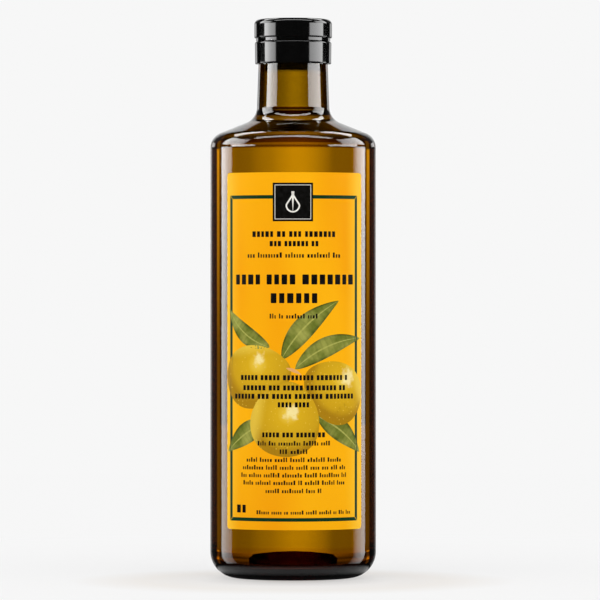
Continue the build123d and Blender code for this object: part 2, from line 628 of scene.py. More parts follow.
class ClosureOperator(Operator):
    """Moulds the pour insert, the tamper band and the screw cap"""

    bl_idname = "oil_bottle.closure"
    bl_label = "Closure"

    def execute(self, context):
        bottle = Bottle()
        closure = sizes().closure
        plastic = moulded_plastic()
        insert = self.insert(bottle, closure)
        piece("insert_moulding", insert, plastic, "black_insert", "pour_insert")
        band = self.band(bottle, closure)
        piece("closure_band", band, plastic, "black_closure", "tamper_band")
        cap = self.cap(bottle, closure)
        piece("closure_cap", cap, plastic, "black_closure", "screw_cap")
        return {"FINISHED"}

    def insert(self, bottle, closure):
        glass = bottle.glass
        sleeve = glass.neck_radius - glass.neck_wall - closure.insert_play
        top = bottle.rim + closure.insert_flange
        foot = bottle.insert_foot
        bore = sleeve - closure.insert_wall
        outline = Outline(0, foot)
        outline.path(
            (sleeve, foot, closure.insert_wall / 2),
            (sleeve, bottle.rim),
            (bottle.finish, bottle.rim),
            (bottle.finish, top, closure.insert_flange / 3),
            (bore, top, closure.insert_blend),
            (bore, foot + closure.insert_wall),
            (0, foot + closure.insert_wall),
        )
        return outline.spun()

    def band(self, bottle, closure):
        inside = bottle.bead + closure.band_play
        lip = bottle.glass.neck_radius + closure.band_play
        outside = inside + closure.band_wall
        foot, top = bottle.start, bottle.band_top
        outline = Outline(lip, foot)
        outline.path(
            (outside - closure.band_taper, foot, closure.band_foot_blend),
            (outside, top, closure.band_top_blend),
            (inside, top),
            (inside, foot + closure.band_lip),
            (lip, foot + closure.band_lip),
        )
        return outline.spun(closed=True)

    def cap(self, bottle, closure):
        inside = bottle.finish + closure.cap_play
        outside = inside + closure.cap_wall
        under = bottle.top - closure.cap_top
        split = bottle.band_top + closure.cap_split
        skirt = bottle.band_top + closure.groove
        groove = outside - closure.groove_depth
        outline = Outline(0, under)
        outline.path(
            (inside, under, closure.cap_inner_blend),
            (inside, split),
            (groove, split),
            (groove, skirt),
            (outside, skirt, closure.cap_edge_blend),
            (outside, bottle.top, closure.cap_top_blend),
            (0, bottle.top),
        )
        return outline.spun()


def moulded_plastic():
    """Polished black polypropylene: a near-mirror face with the slight ripple of a moulding."""
    closure = sizes().closure
    material, tree, place = new_material("moulded_black_polypropylene")
    # Flow marks some 6 mm wide, and a grain drawn at 0.4 mm that is finer on the real part.
    flow = add(tree, "TexNoise", {"Vector": place, "Scale": 1 / (6 * MM), "Detail": 1.0})
    grain = add(tree, "TexNoise", {"Vector": place, "Scale": 1 / (0.4 * MM), "Detail": 0.0})
    stops = [(0.3, tuple(0.8 * c for c in closure.plastic)), (0.7, closure.plastic)]
    gloss = {"Value": flow, "To Min": closure.roughness, "To Max": closure.roughness + 0.04}
    ripple = add(tree, "Bump", {"Height": flow, "Distance": 0.0015 * MM})
    fine = {"Height": grain, "Distance": 0.0004 * MM, "Normal": ripple}
    surface = add(
        tree,
        "BsdfPrincipled",
        {
            "Base Color": add(tree, "ValToRGB", {"Fac": flow}, stops),
            "Roughness": add(tree, "MapRange", gloss),
            "IOR": 1.49,
            "Specular IOR Level": 0.45,
            "Normal": add(tree, "Bump", fine),
        },
    )
    add(tree, "OutputMaterial", {"Surface": surface})
    return material


# ---------------------------------------------------------------- label

# The label's inner face lies on its glue.
SHEET_RADIUS = GLASS_HIGH.x + 0.02 * MM
# Flat shapes are cut this often before they are bent round the glass.
CUT = 1.4 * MM
LABEL_MIDDLE = (LABEL_LOW.z + LABEL_HIGH.z) / 2
# Each print's lift over the paper and its thickness in millimetres, from the lowest up.
PRINTS = {
    "border": (0.005, 0.006),
    "leaves": (0.007, 0.004),
    "olive_1": (0.009, 0.004),
    "olive_2": (0.012, 0.004),
    "stem": (0.013, 0.004),
    "olive_3": (0.015, 0.004),
    "square": (0.018, 0.006),
    "words": (0.024, 0.006),
    "square_lines": (0.026, 0.005),
}


def everything(mesh):
    return mesh.verts[:] + mesh.edges[:] + mesh.faces[:]


def wrap(mesh, turn, lift, thickness):
    """Bends flat shapes in (s, 0, height) round the glass as a thin closed sheet."""
    raised = bmesh.ops.extrude_face_region(mesh, geom=mesh.faces[:])
    bmesh.ops.translate(mesh, verts=points(raised), vec=(0, -thickness, 0))
    # The outside is found while the sheet is flat, because a bent one can come out inside out.
    bmesh.ops.recalc_face_normals(mesh, faces=mesh.faces)
    count = ceil(max(abs(v.co.x) for v in mesh.verts) / CUT)
    for step in range(-count, count + 1):
        spot = (step * CUT, 0, 0)
        bmesh.ops.bisect_plane(
            mesh, geom=everything(mesh), dist=SAME / 10, plane_co=spot, plane_no=(1, 0, 0)
        )
    for vert in mesh.verts:
        s, depth, height = vert.co
        bend = s / GLASS_HIGH.x + turn
        radius = SHEET_RADIUS + lift - depth
        vert.co = (radius * sin(bend), -radius * cos(bend), height)


def lay(name, mesh, turn, material):
    """Bends a flat print round the label's face and makes it a piece."""
    lift, thickness = PRINTS[name]
    wrap(mesh, turn, sizes().label.paper + lift * MM, thickness * MM)
    piece("label_" + name, mesh, material, "printed_label")


def rounded_sheet(mesh, width, height, middle, corner=0.0, across=0.0):
    """Adds a flat upright sheet, with rounded corners if a radius is given."""
    verts = bmesh.ops.create_grid(mesh, x_segments=1, y_segments=1, size=0.5)["verts"]
    bmesh.ops.rotate(mesh, verts=verts, cent=(0, 0, 0), matrix=UPRIGHT)
    bmesh.ops.scale(mesh, verts=verts, vec=(width, 1, height))
    bmesh.ops.translate(mesh, verts=verts, vec=(across, 0, middle))
    if corner:
        bmesh.ops.bevel(mesh, geom=verts, offset=corner, affect="VERTICES", segments=5, **BEVEL)


def outlined(mesh, faces, width):
    """Leaves only a line of that width inside the edge of each face."""
    line = bmesh.ops.inset_individual(mesh, faces=faces, thickness=width, use_even_offset=True)
    kept = set(line["faces"])
    inner = [face for face in faces if face.is_valid and face not in kept]
    bmesh.ops.delete(mesh, geom=inner, context="FACES")


class PaperOperator(Operator):
    """Cuts the label's paper and lays it round the front of the bottle"""

    bl_idname = "oil_bottle.paper"
    bl_label = "Label paper"

    def execute(self, context):
        label = sizes().label
        mesh = bmesh.new()
        height = LABEL_HIGH.z - LABEL_LOW.z
        rounded_sheet(mesh, label.width, height, LABEL_MIDDLE, label.corner)
        wrap(mesh, label.turn, 0, label.paper)
        paper = piece("label_paper", mesh, coated_paper(), "printed_label", "label")
        paper.data.materials.append(paper_back())
        inner = SHEET_RADIUS + label.paper / 2
        for face in paper.data.polygons:
            if hypot(face.center.x, face.center.y) < inner:
                face.material_index = 1
        return {"FINISHED"}


def printed(material, tree, place, tint):
    """Ends a printed material, whose ink lies under a thin satin varnish."""
    # Paper fibres show through varnish as a grain of about 0.3 mm.
    grain = add(tree, "TexNoise", {"Vector": place, "Scale": 1 / (0.3 * MM), "Detail": 1.0})
    coat = {
        "Base Color": tint,
        "Roughness": 0.27,
        "IOR": 1.45,
        "Specular IOR Level": 0.08,
        "Normal": add(tree, "Bump", {"Height": grain, "Distance": 0.0012 * MM}),
    }
    add(tree, "OutputMaterial", {"Surface": add(tree, "BsdfPrincipled", coat)})
    return material


def coated_paper():
    """Varnished art paper printed orange: satin, with a slow cloud of deeper orange and a painted
    sheen towards its sides.
    """
    label = sizes().label
    material, tree, place = new_material("varnished_art_paper")
    # The cloud is about 30 mm wide and four times as tall.
    tall = add(tree, "Mapping", {"Vector": place, "Scale": (1.0, 1.0, 0.25)})
    cloud = add(tree, "TexNoise", {"Vector": tall, "Scale": 1 / (30 * MM), "Detail": 1.0})
    tint = add(tree, "ValToRGB", {"Fac": cloud}, [(0.35, label.orange_deep), (0.62, label.orange)])
    # Painted sheen: the ground is paler orange over the last few millimetres before the sides,
    # where the side lights would catch the varnish at a slant.
    across = add(tree, "SeparateXYZ", {"Vector": place}).outputs["X"]
    edge = add(
        tree,
        "MapRange",
        {
            "Value": add(tree, "Math", {0: across}, operation="ABSOLUTE"),
            "From Min": 25 * MM,
            "From Max": 33 * MM,
        },
        interpolation_type="SMOOTHSTEP",
    )
    ground = {"Factor": edge, "A": tint, "B": rgba(label.orange_painted_sheen)}
    return printed(material, tree, place, add(tree, "Mix", ground, data_type="RGBA"))


def paper_back():
    """The bare back of the label, matt and a little mottled by its glue."""
    back = Vector(sizes().label.back)
    material, tree, place = new_material("glued_paper_back")
    glue = add(tree, "TexNoise", {"Vector": place, "Scale": 1 / (9 * MM), "Detail": 3.0})
    tint = add(tree, "ValToRGB", {"Fac": glue}, [(0.3, 0.9 * back), (0.7, back)])
    surface = add(tree, "BsdfPrincipled", {"Base Color": tint, "Roughness": 0.8})
    add(tree, "OutputMaterial", {"Surface": surface})
    return material


def ink(name, tint):
    """Offset ink of one colour, a little uneven over about 2 mm as ink on coated paper is."""
    material, tree, place = new_material(name)
    cover = add(tree, "TexNoise", {"Vector": place, "Scale": 1 / (2 * MM), "Detail": 2.0})
    full = Vector(tint)
    thin = full * 0.86 + Vector((0.006, 0.006, 0.006))
    laid = add(tree, "ValToRGB", {"Fac": cover}, [(0.3, full), (0.75, thin)])
    return printed(material, tree, place, laid)


class BorderOperator(Operator):
    """Prints the green line that runs round inside the label's edge"""

    bl_idname = "oil_bottle.border"
    bl_label = "Border"

    def execute(self, context):
        label = sizes().label
        low = LABEL_LOW.z + label.border_low
        high = LABEL_HIGH.z - label.border_high
        width = label.width - 2 * label.border_inset
        mesh = bmesh.new()
        rounded_sheet(mesh, width, high - low, (low + high) / 2)
        outlined(mesh, mesh.faces[:], label.border_width)
        # The mitres are left as hairlines of bare ground.
        mitres = [edge for edge in mesh.edges if len(edge.link_faces) == 2]
        bmesh.ops.split_edges(mesh, edges=mitres)
        for face in mesh.faces:
            centre = face.calc_center_median()
            along = 2 if abs(face.calc_center_bounds().x) > MM else 0
            shorter = [1, 1, 1]
            half = max(abs(v.co[along] - centre[along]) for v in face.verts)
            shorter[along] = 1 - label.mitre / half
            space = Matrix.Translation(-centre)
            bmesh.ops.scale(mesh, verts=face.verts[:], vec=shorter, space=space)
        green = ink("green_border_ink", label.border_green)
        lay("border", mesh, label.turn + label.border_turn, green)
        return {"FINISHED"}


class SquareOperator(Operator):
    """Prints the black square with its white line and a plain drop of oil"""

    bl_idname = "oil_bottle.square"
    bl_label = "Square"

    def execute(self, context):
        label = sizes().label
        middle = LABEL_HIGH.z - label.square_top - label.square_height / 2
        mesh = bmesh.new()
        rounded_sheet(mesh, label.square, label.square_height, middle)
        lay("square", mesh, label.square_turn, ink("black_square_ink", label.ink))
        mesh = bmesh.new()
        edge = 2 * label.square_edge
        rounded_sheet(mesh, label.square - edge, label.square_height - edge, middle)
        outlined(mesh, mesh.faces[:], label.square_line)
        drop = bmesh.ops.create_circle(
            mesh, cap_ends=True, segments=48, radius=label.drop, matrix=UPRIGHT.to_4x4()
        )["verts"]
        for vert in drop:
            # The top of the circle is drawn up and in to the drop's point.
            up = max(0.0, vert.co.z / label.drop)
            vert.co.x *= 1 - up**1.6
            vert.co.z += up**2 * label.drop_rise
        bmesh.ops.translate(mesh, verts=drop, vec=(0, 0, middle - label.drop_low))
        faces = list({face for vert in drop for face in vert.link_faces})
        outlined(mesh, faces, label.drop_line)
        lay("square_lines", mesh, label.square_turn, ink("white_line_ink", label.white))
        return {"FINISHED"}


# Rows of print: middle to the right of the front, width, height above the label's foot, and the
# height of a capital, all in millimetres, then whether the row is set in capitals.
WORD_ROWS = (
    (0.4, 42.4, 145.5, 2.8, True),
    (0.5, 24.2, 140.8, 2.6, True),
    (0.5, 48.0, 135.2, 2.6, False),
    (1.0, 63.5, 123.2, 4.9, True),
    (0.5, 23.1, 114.0, 4.9, True),
    (0.3, 23.8, 105.2, 2.4, False),
    (0.6, 56.4, 74.9, 2.5, True),
    (0.7, 53.6, 69.9, 2.5, True),
    (0.7, 64.3, 65.7, 2.5, True),
    (0.2, 15.4, 61.6, 2.5, True),
    (0.3, 31.5, 46.8, 2.4, True),
    (0.4, 36.6, 42.7, 2.3, False),
    (0.2, 13.5, 38.6, 2.3, False),
    (0.4, 49.0, 34.6, 2.2, False),
    (0.6, 53.8, 30.8, 2.2, False),
    (0.4, 55.5, 27.0, 2.2, False),
    (0.5, 53.1, 23.3, 2.2, False),
    (0.2, 27.8, 19.3, 2.2, False),
    (6.1, 49.2, 8.7, 2.0, False),
    (-27.4, 5.4, 10.3, 3.9, True),
)
# Widths of a block, gaps between blocks and between words, and low blocks, in capitals' heights.
HEADING_BLOCK, HEADING_GAP = (0.48, 0.66), 0.26
BODY_BLOCK, BODY_GAP = (0.24, 0.42), 0.24
WORD_GAP = 0.45
LOW_BLOCK = 0.66
# Share of tall blocks in a row that isn't in capitals, and a corner's share of a block's width.
TALL_BLOCKS = 0.3
BLOCK_CORNER = 0.12


class WordsOperator(Operator):
    """Prints rows of plain blocks where a label has its text"""

    bl_idname = "oil_bottle.words"
    bl_label = "Rows of print"

    def execute(self, context):
        draw = random.Random(7)
        mesh = bmesh.new()
        for row in WORD_ROWS:
            self.row(mesh, draw, *row)
        lay("words", mesh, 0, ink("black_text_ink", sizes().label.ink))
        return {"FINISHED"}

    def row(self, mesh, draw, middle, width, height, capital, heading):
        """One row of blocks that fills its width."""
        blocks = []
        at = 0.0
        word = draw.randint(3, 9)
        while at < width:
            wide = capital * draw.uniform(*(HEADING_BLOCK if heading else BODY_BLOCK))
            tall = capital if heading or draw.random() < TALL_BLOCKS else LOW_BLOCK * capital
            blocks.append((at, wide, tall))
            at += wide + capital * (HEADING_GAP if heading else BODY_GAP)
            word -= 1
            if word == 0:
                at += capital * WORD_GAP
                word = draw.randint(2, 9)
        fit = width / (blocks[-1][0] + blocks[-1][1])
        for start, wide, tall in blocks:
            across = middle - width / 2 + (start + wide / 2) * fit
            lift = LABEL_LOW.z + (height - capital / 2 + tall / 2) * MM
            corner = BLOCK_CORNER * wide * MM
            rounded_sheet(mesh, wide * fit * MM, tall * MM, lift, corner, across * MM)


# Leaves: the base and the tip as (right of the front, above the label's foot), width and bow.
LEAVES = (
    ((-11.6, 89.8), (-35.5, 108.6), 9.0, 0.10),
    ((-5.6, 84.0), (23.8, 112.8), 11.0, 0.08),
    ((0.9, 79.2), (38.0, 94.2), 10.0, 0.10),
    ((-13.0, 53.5), (-36.4, 38.4), 10.6, -0.04),
    ((12.0, 56.0), (37.6, 38.0), 11.0, 0.05),
)
STEM = ((-3.4, 79.6), (4.2, 76.2), 1.6, 0.05)

# Olives: middle, half length, half width, and the direction of the stem end in degrees from level.
OLIVES = (
    ((-18.9, 75.7), 18.2, 15.4, 10),
    ((21.6, 68.2), 17.6, 15.0, 148),
    ((-4.0, 54.6), 18.6, 17.4, 80),
)

# Where each printed olive is lit, as (right, up) from -1 to 1, how large the shine is, and on
# which side its edge is pale.
OLIVE_LIGHT = (
    ((0.1, 0.45), 0.2, (-0.1, 1.0)),
    ((0.42, 0.36), 0.27, (0.85, 0.5)),
    ((0.17, 0.18), 0.25, (-1.0, 0.15)),
)


class LeavesOperator(Operator):
    """Prints the olive leaves and the little stem"""

    bl_idname = "oil_bottle.leaves"
    bl_label = "Leaves"

    def execute(self, context):
        mesh = bmesh.new()
        mesh.loops.layers.uv.new("leaf")
        for leaf in LEAVES:
            self.leaf(mesh, *leaf)
        bmesh.ops.remove_doubles(mesh, verts=mesh.verts, dist=SAME)
        lay("leaves", mesh, 0, leaf_print())
        stem = bmesh.new()
        self.leaf(stem, *STEM)
        lay("stem", stem, 0, ink("printed_stem", sizes().artwork.stem))
        return {"FINISHED"}

    def leaf(self, mesh, base, tip, width, bow):
        """A grid drawn out into a long pointed leaf."""
        foot = Vector((0, LABEL_LOW.z))
        start = Vector(base) * MM + foot
        along = Vector(tip) * MM + foot - start
        aside = Vector((-along.y, along.x)).normalized()
        made = bmesh.ops.create_grid(mesh, x_segments=28, y_segments=4, size=0.5, calc_uvs=True)
        for vert in made["verts"]:
            t, across = vert.co.x + 0.5, vert.co.y
            half = width * MM * sin(pi * t**0.82) ** 0.85
            rise = bow * along.length * 4 * t * (1 - t)
            spot = start + along * t + aside * (rise + across * half)
            vert.co = (spot.x, 0, spot.y)


class OlivesOperator(Operator):
    """Prints the three olives"""

    bl_idname = "oil_bottle.olives"
    bl_label = "Olives"

    def execute(self, context):
        for index, (middle, long, wide, lean) in enumerate(OLIVES):
            mesh = bmesh.new()
            uv = mesh.loops.layers.uv.new("olive")
            bmesh.ops.create_circle(mesh, cap_ends=True, segments=72, radius=1)
            for vert in mesh.verts:
                # Egg-shaped: slimmer towards the stem.
                vert.co.y *= 1 - 0.16 * vert.co.x - 0.1 * max(0.0, vert.co.x) ** 4
            turn = Matrix.Rotation(radians(lean), 3, "Z")
            bmesh.ops.scale(mesh, verts=mesh.verts, vec=(long * MM, wide * MM, 1))
            bmesh.ops.rotate(mesh, verts=mesh.verts, cent=(0, 0, 0), matrix=turn)
            for face in mesh.faces:
                for loop in face.loops:
                    spot = loop.vert.co / (2 * long * MM)
                    loop[uv].uv = (0.5 + spot.x, 0.5 + spot.y)
            place = Vector((middle[0] * MM, 0, LABEL_LOW.z + middle[1] * MM))
            bmesh.ops.rotate(mesh, verts=mesh.verts, cent=(0, 0, 0), matrix=UPRIGHT)
            bmesh.ops.translate(mesh, verts=mesh.verts, vec=place)
            self.trim(mesh)
            lay(f"olive_{index + 1}", mesh, 0, olive_print(index))
        return {"FINISHED"}

    def trim(self, mesh):
        """Cuts what runs past the label's edge."""
        label = sizes().label
        shift = label.turn * GLASS_HIGH.x
        half = label.width / 2 - label.bare_edge
        for side in (-1, 1):
            bmesh.ops.bisect_plane(
                mesh,
                geom=everything(mesh),
                dist=SAME / 10,
                plane_co=(shift + side * half, 0, 0),
                plane_no=(side, 0, 0),
                clear_outer=True,
            )


def leaf_print():
    """Printed leaf: grey-green with a pale midrib, darker towards its edge."""
    art = sizes().artwork
    material, tree, place = new_material("printed_leaf")
    flat = add(tree, "UVMap", uv_map="leaf")
    across = add(tree, "SeparateXYZ", {"Vector": flat}).outputs["Y"]
    middle = add(tree, "Math", {0: across, 1: 0.5}, operation="SUBTRACT")
    body = add(
        tree,
        "ValToRGB",
        {"Fac": add(tree, "Math", {0: middle}, operation="ABSOLUTE")},
        [
            (0.0, art.leaf_light),
            (0.02, art.leaf_light),
            (0.05, art.leaf),
            (0.34, art.leaf),
            (0.5, art.leaf_shade),
        ],
    )
    # Blotches of light some 8 mm wide, and side veins about 3 mm apart.
    blotch = add(tree, "TexNoise", {"Vector": place, "Scale": 1 / (8 * MM), "Detail": 5.0})
    light = {"Value": blotch, "From Min": 0.4, "From Max": 0.7, "To Max": 0.8}
    stretch = add(tree, "Mapping", {"Vector": flat, "Scale": (1.0, 0.25, 1.0)})
    waves = {"Vector": stretch, "Scale": 4.2, "Distortion": 4.0, "Detail": 1.0}
    vein = {"Value": add(tree, "TexWave", waves), "From Min": 0.6, "To Max": 0.16}
    for cover, tint in ((light, art.leaf_light), (vein, art.leaf_shade)):
        factor = add(tree, "MapRange", cover)
        body = add(tree, "Mix", {"Factor": factor, "A": body, "B": rgba(tint)}, data_type="RGBA")
    return printed(material, tree, place, body)


def olive_print(index):
    """Printed olive: waxy yellow-green, shaded round, with a soft white shine and specks."""
    art = sizes().artwork
    (right, up), size, side = OLIVE_LIGHT[index]
    material, tree, place = new_material(f"printed_olive_{index + 1}")
    flat = add(tree, "UVMap", uv_map="olive")
    flat = add(tree, "Mapping", {"Vector": flat, "Location": (-1, -1, 0), "Scale": (2, 2, 1)})
    towards = {0: flat, 1: (*side, 0)}
    lit = add(
        tree, "VectorMath", {0: flat, 1: (0.55 * right, 0.7 * up, 0)}, operation="SUBTRACT"
    )
    body = add(
        tree,
        "ValToRGB",
        {"Fac": add(tree, "VectorMath", {0: lit}, operation="LENGTH")},
        [
            (0.0, art.olive_light),
            (0.3, art.olive),
            (0.8, Vector(art.olive).lerp(Vector(art.olive_shade), 0.35)),
            (1.0, art.olive_shade),
        ],
    )
    rim = {
        "Value": add(tree, "VectorMath", towards, operation="DOT_PRODUCT"),
        "From Min": 0.5,
        "From Max": 0.85,
        "To Max": 0.75,
    }
    # A window's reflection in waxy skin has a ragged edge, over about 3 mm.
    spot = add(tree, "VectorMath", {0: flat, 1: (right, up, 0)}, operation="SUBTRACT")
    near = add(tree, "VectorMath", {0: spot}, operation="LENGTH")
    skin = add(tree, "TexNoise", {"Vector": place, "Scale": 1 / (3 * MM), "Detail": 3.0})
    shine = {
        "Value": add(tree, "Math", {0: skin, 1: 0.5, 2: near}, operation="MULTIPLY_ADD"),
        "From Min": size + 0.27,
        "From Max": size + 0.08,
        "To Max": 0.75,
    }
    # Lenticels: pale specks about 0.4 mm across and 2 mm apart.
    cells = add(tree, "TexVoronoi", {"Vector": place, "Scale": 1 / (2 * MM)})
    speck = {"Value": cells, "From Min": 0.2, "From Max": 0.1, "To Max": 0.55}
    for cover, kind, tint in (
        (rim, "SMOOTHSTEP", art.olive_light),
        (shine, "SMOOTHSTEP", art.olive_shine),
        (speck, "LINEAR", art.olive_light),
    ):
        factor = add(tree, "MapRange", cover, interpolation_type=kind)
        body = add(tree, "Mix", {"Factor": factor, "A": body, "B": rgba(tint)}, data_type="RGBA")
    return printed(material, tree, place, body)


# ---------------------------------------------------------------- stage

FLOOR_RADIUS = 1.4
# The tube of light round the stage, and the soft boxes over it.
SURROUND, SURROUND_LOW, SURROUND_HIGH = 1.0, -0.9, 1.1
OVERHEAD = 1.22
SCRIM_RADIUS, SCRIM_TURN, SCRIM_LOW, SCRIM_HIGH = 0.6, radians(45), 0.06, 0.2185
# The strongest light that a profile can hold.
STRONGEST = 16
# Sine of the lowest and the highest line of sight that the backdrop's brightness is given for.
LOWEST, HIGHEST = -0.85, 0.25
ONLY_IN_GLOSS = ("camera", "diffuse", "transmission", "volume_scatter", "shadow")
ONLY_THROUGH_GLASS = ("camera", "diffuse", "glossy", "volume_scatter", "shadow")


class StageOperator(Operator):
    """Lays the floor, hangs the soft light round it and sets up the camera"""

    bl_idname = "oil_bottle.stage"
    bl_label = "Stage"

    def execute(self, context):
        studio = sizes().studio
        self.floor(studio)
        self.surround()
        self.overhead("overhead_front", (0, -0.36), (1.8, 0.26), 7.5)
        for side, name in ((-1, "overhead_left"), (1, "overhead_right")):
            self.overhead(name, (0.72 * side, 0.68), (0.95, 0.42), 7.0)
        self.scrim()
        self.world(studio)
        self.camera(studio)
        context.scene.view_settings.view_transform = "Standard"
        return {"FINISHED"}

    def floor(self, studio):
        mesh = bmesh.new()
        bmesh.ops.create_circle(mesh, cap_ends=True, segments=128, radius=FLOOR_RADIUS)
        self.hang("floor", mesh, floor_with_painted_shadow(studio), ("transmission",))

    def surround(self):
        """A tall tube of light round the stage."""
        mesh = bmesh.new()
        ring = bmesh.ops.create_circle(mesh, segments=144, radius=SURROUND)["verts"]
        bmesh.ops.translate(mesh, verts=ring, vec=(0, 0, SURROUND_LOW))
        self.draw_up(mesh, SURROUND_HIGH - SURROUND_LOW)
        self.hang("gloss_surround", mesh, gloss_light(), ONLY_IN_GLOSS)

    def overhead(self, name, middle, size, strength):
        """A soft box more than a metre above the floor."""
        mesh = bmesh.new()
        made = bmesh.ops.create_grid(mesh, x_segments=1, y_segments=1, size=0.5)["verts"]
        bmesh.ops.scale(mesh, verts=made, vec=(*size, 1))
        bmesh.ops.translate(mesh, verts=made, vec=(*middle, OVERHEAD))
        material, tree, place = glow(name)
        cloth = add(tree, "TexNoise", {"Vector": place, "Scale": 4.0, "Detail": 0.0})
        tint = add(tree, "ValToRGB", {"Fac": cloth}, [(0.2, 0.92), (0.8, 1.0)])
        light = add(tree, "Emission", {"Color": tint, "Strength": strength})
        add(tree, "OutputMaterial", {"Surface": light})
        self.hang(name, mesh, material, ONLY_IN_GLOSS)

    def scrim(self):
        """A strip of thin dark net behind the shoulder."""
        mesh = bmesh.new()
        first = (-SCRIM_RADIUS * sin(SCRIM_TURN), SCRIM_RADIUS * cos(SCRIM_TURN), SCRIM_LOW)
        spin(mesh, [mesh.verts.new(first)], (0, 0, 0), (0, 0, 1), -2 * SCRIM_TURN, 24)
        self.draw_up(mesh, SCRIM_HIGH - SCRIM_LOW)
        self.hang("dark_scrim", mesh, dark_net(), ONLY_THROUGH_GLASS)

    def draw_up(self, mesh, height):
        """Draws a line of edges up into a wall."""
        wall = bmesh.ops.extrude_edge_only(mesh, edges=mesh.edges[:])
        bmesh.ops.translate(mesh, verts=points(wall), vec=(0, 0, height))

    def hang(self, name, mesh, material, unmet):
        """Adds a piece of the stage that some kinds of light don't meet."""
        body = placed(name, mesh, material)
        for light in unmet:
            setattr(body, "visible_" + light, False)

    def world(self, studio):
        world = bpy.data.worlds.new("studio")
        bpy.context.scene.world = world
        world.use_nodes = True
        world.cycles.sampling_method = "NONE"
        tree = world.node_tree
        tree.nodes.clear()
        path = add(tree, "LightPath").outputs
        direction = add(tree, "TexCoord").outputs["Generated"]
        # Soft light for the paint and the print, the plain backdrop for the camera, and little
        # above the surround for what shines.
        levels = [(0, studio.light), (1, 0.02)]
        shown = add(tree, "ValToRGB", {"Fac": path["Is Glossy Ray"]}, levels)
        for ray, level in (
            ("Is Transmission Ray", back_cloth(tree, direction)),
            ("Is Camera Ray", rgba(studio.ground)),
        ):
            mix = {"Factor": path[ray], "A": shown, "B": level}
            shown = add(tree, "Mix", mix, data_type="RGBA")
        light = add(tree, "Background", {"Color": shown})
        add(tree, "OutputWorld", {"Surface": light})

    def camera(self, studio):
        data = bpy.data.cameras.new("camera")
        data.lens = studio.focal
        data.sensor_width = 36
        data.clip_end = 20
        eye = bpy.data.objects.new("camera", data)
        eye.location = (studio.aside, -studio.distance, studio.height)
        eye.rotation_euler = (pi / 2, 0, 0)
        bpy.context.scene.collection.objects.link(eye)
        bpy.context.scene.camera = eye


def floor_with_painted_shadow(studio):
    """Matt painted floor with a painted shadow ahead of the foot; it goes over into the plain
    backdrop away from the bottle.
    """
    material, tree, place = new_material("matt_floor_with_painted_shadow")
    grain = add(tree, "TexNoise", {"Vector": place, "Scale": 1 / (3 * MM), "Detail": 2.0})
    ground = Vector(studio.ground)
    tint = add(tree, "ValToRGB", {"Fac": grain}, [(0.3, ground * 0.995), (0.7, ground)])
    # Painted shadow: as the light comes from behind, the floor's colour is darkened just before the
    # foot, and warmed to amber there.
    ahead = add(tree, "VectorMath", {0: place, 1: (0, -0.03, 0)}, operation="SUBTRACT")
    shade = add(
        tree,
        "ValToRGB",
        {"Fac": add(tree, "VectorMath", {0: ahead}, operation="LENGTH")},
        [
            (0.012, (0.70, 0.68, 0.66)),
            (0.026, (0.78, 0.765, 0.755)),
            (0.046, (0.91, 0.895, 0.88)),
            (0.075, (0.935, 0.91, 0.88)),
            (0.11, 1.0),
        ],
    )
    tint = add(tree, "VectorMath", {0: tint, 1: shade}, operation="MULTIPLY")
    lit = add(tree, "VectorMath", {0: tint, 1: (1 / studio.light,) * 3}, operation="MULTIPLY")
    far = add(tree, "VectorMath", {0: place}, operation="LENGTH")
    fade = {"Value": far, "From Min": 0.1, "From Max": 0.4, "To Min": 0.72}
    paint = {
        0: add(tree, "MapRange", fade, interpolation_type="SMOOTHSTEP"),
        1: add(tree, "BsdfDiffuse", {"Color": lit, "Roughness": 1.0}),
        2: add(tree, "Emission", {"Color": tint}),
    }
    # To what shines, the floor is only a glowing ring round the bottle's foot, a painted
    # reflection, dark under the bottle and just past the ring; beyond it the soft boxes show.
    ring = [(0.036, 0.02), (0.0385, 0.5), (0.043, 0.5), (0.0455, 0.01)]
    gloss = {
        0: add(tree, "Math", {0: far, 1: 0.05}, operation="GREATER_THAN"),
        1: add(tree, "Emission", {"Color": add(tree, "ValToRGB", {"Fac": far}, ring)}),
        2: add(tree, "BsdfTransparent"),
    }
    shown = {
        0: add(tree, "LightPath").outputs["Is Glossy Ray"],
        1: add(tree, "MixShader", paint),
        2: add(tree, "MixShader", gloss),
    }
    add(tree, "OutputMaterial", {"Surface": add(tree, "MixShader", shown)})
    return material


def dark_net():
    """Thin dark brown net, denser low down, that holds back light to just under the shoulder."""
    material, tree, place = new_material("dark_net")
    height = add(tree, "SeparateXYZ", {"Vector": place}).outputs["Z"]
    stops = (
        (0.157, (0.17, 0.08, 0.06)),
        (0.179, (0.22, 0.11, 0.08)),
        (0.207, (0.8, 0.66, 0.62)),
        (0.216, 1.0),
    )
    net = {"Color": graded(tree, height, SCRIM_LOW, SCRIM_HIGH, stops)}
    add(tree, "OutputMaterial", {"Surface": add(tree, "BsdfTransparent", net)})
    return material


def round_about(tree, place):
    """Angle about the bottle from 0 to 1, with 0.5 straight behind and +X below it, and height."""
    parts = add(tree, "SeparateXYZ", {"Vector": place}).outputs
    back = add(tree, "Math", {0: parts["X"], 1: -1.0}, operation="MULTIPLY")
    turn = add(tree, "Math", {0: back, 1: parts["Y"]}, operation="ARCTAN2")
    return add(tree, "MapRange", {"Value": turn, "From Min": -pi, "From Max": pi}), parts["Z"]


def profile(tree, turn, right, left):
    """A ramp round the bottle, from (degrees from straight behind, strength) on each side."""
    stops = [(0.5 - degrees / 360, level / STRONGEST) for degrees, level in reversed(right)]
    stops += [(0.5 + degrees / 360, level / STRONGEST) for degrees, level in left]
    return add(tree, "ValToRGB", {"Fac": turn}, stops)


